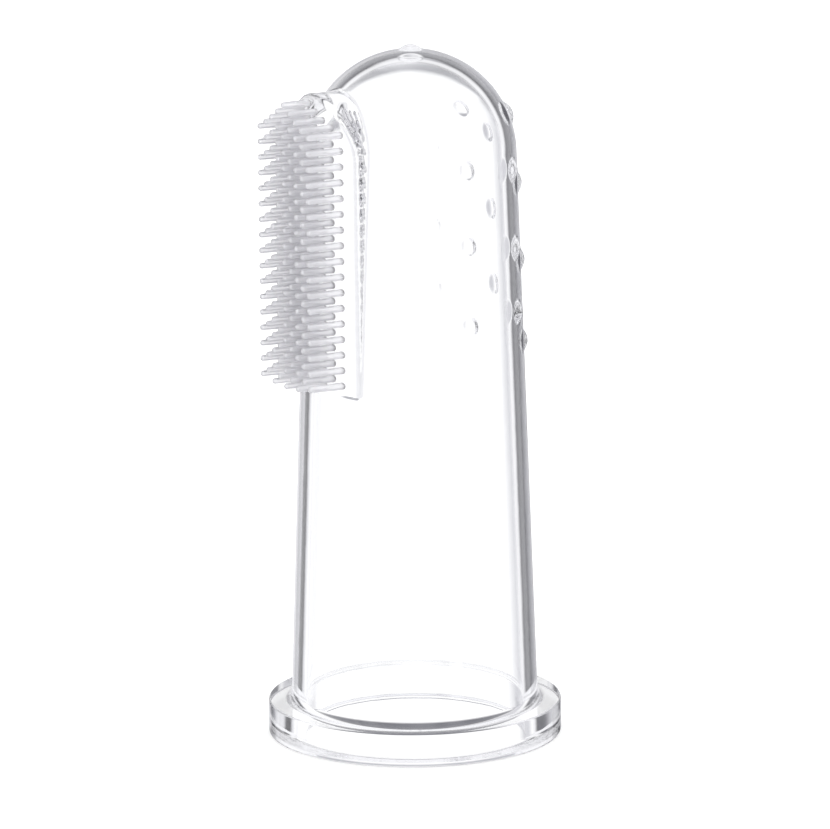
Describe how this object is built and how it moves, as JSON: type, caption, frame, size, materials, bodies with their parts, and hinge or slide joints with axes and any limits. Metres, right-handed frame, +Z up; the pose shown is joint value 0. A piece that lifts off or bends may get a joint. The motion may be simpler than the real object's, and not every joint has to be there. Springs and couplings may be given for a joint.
{
  "type": "finger toothbrush",
  "caption": "Clear silicone finger toothbrush: a tapered thimble sleeve with a flat collar, an arched pad of soft bristles and low massage nubs.",
  "frame": {"origin": "centre of the base plane, on the sleeve's axis", "axes": "+Z up the sleeve to its rounded tip; the bristles face -Y and the massage nubs face +Y"},
  "size_m": [0.0244, 0.0244, 0.0576],
  "materials": {
    "clear_silicone": "glossy clear moulded silicone",
    "bristle_silicone": "glossy clear moulded silicone, soft thin bristles"
  },
  "bodies": {
    "sleeve": {"finger_sleeve": "clear_silicone", "base_collar": "clear_silicone", "bristle_pad": "clear_silicone", "nubs_far_right": "clear_silicone", "nubs_right": "clear_silicone", "nubs_middle": "clear_silicone", "nubs_left": "clear_silicone", "nubs_far_left": "clear_silicone", "tip_nub": "clear_silicone"},
    "bristle_column_1": {"bristle_column_1": "bristle_silicone"},
    "bristle_column_2": {"bristle_column_2": "bristle_silicone"},
    "bristle_column_3": {"bristle_column_3": "bristle_silicone"},
    "bristle_column_4": {"bristle_column_4": "bristle_silicone"},
    "bristle_column_5": {"bristle_column_5": "bristle_silicone"},
    "bristle_column_6": {"bristle_column_6": "bristle_silicone"},
    "bristle_column_7": {"bristle_column_7": "bristle_silicone"},
    "bristle_column_8": {"bristle_column_8": "bristle_silicone"},
    "bristle_column_9": {"bristle_column_9": "bristle_silicone"}
  },
  "joints": [
    {"name": "bristle_column_1_bend", "type": "hinge", "parent": "sleeve", "child": "bristle_column_1", "pos_m": [-0.004, -0.00906, 0.04105], "axis": [0, 0, 1], "range_deg": [-15, 15], "stiffness_Nm_per_rad": 0.00015},
    {"name": "bristle_column_2_bend", "type": "hinge", "parent": "sleeve", "child": "bristle_column_2", "pos_m": [-0.003, -0.00933, 0.04152], "axis": [0, 0, 1], "range_deg": [-15, 15], "stiffness_Nm_per_rad": 0.00017},
    {"name": "bristle_column_3_bend", "type": "hinge", "parent": "sleeve", "child": "bristle_column_3", "pos_m": [-0.002, -0.00952, 0.0414], "axis": [0, 0, 1], "range_deg": [-15, 15], "stiffness_Nm_per_rad": 0.00019},
    {"name": "bristle_column_4_bend", "type": "hinge", "parent": "sleeve", "child": "bristle_column_4", "pos_m": [-0.001, -0.00963, 0.04197], "axis": [0, 0, 1], "range_deg": [-15, 15], "stiffness_Nm_per_rad": 0.0002},
    {"name": "bristle_column_5_bend", "type": "hinge", "parent": "sleeve", "child": "bristle_column_5", "pos_m": [0, -0.00967, 0.04195], "axis": [0, 0, 1], "range_deg": [-15, 15], "stiffness_Nm_per_rad": 0.00022},
    {"name": "bristle_column_6_bend", "type": "hinge", "parent": "sleeve", "child": "bristle_column_6", "pos_m": [0.001, -0.00963, 0.04197], "axis": [0, 0, 1], "range_deg": [-15, 15], "stiffness_Nm_per_rad": 0.0002},
    {"name": "bristle_column_7_bend", "type": "hinge", "parent": "sleeve", "child": "bristle_column_7", "pos_m": [0.002, -0.00952, 0.0414], "axis": [0, 0, 1], "range_deg": [-15, 15], "stiffness_Nm_per_rad": 0.00019},
    {"name": "bristle_column_8_bend", "type": "hinge", "parent": "sleeve", "child": "bristle_column_8", "pos_m": [0.003, -0.00933, 0.04152], "axis": [0, 0, 1], "range_deg": [-15, 15], "stiffness_Nm_per_rad": 0.00017},
    {"name": "bristle_column_9_bend", "type": "hinge", "parent": "sleeve", "child": "bristle_column_9", "pos_m": [0.004, -0.00906, 0.04105], "axis": [0, 0, 1], "range_deg": [-15, 15], "stiffness_Nm_per_rad": 0.00015}
  ]
}
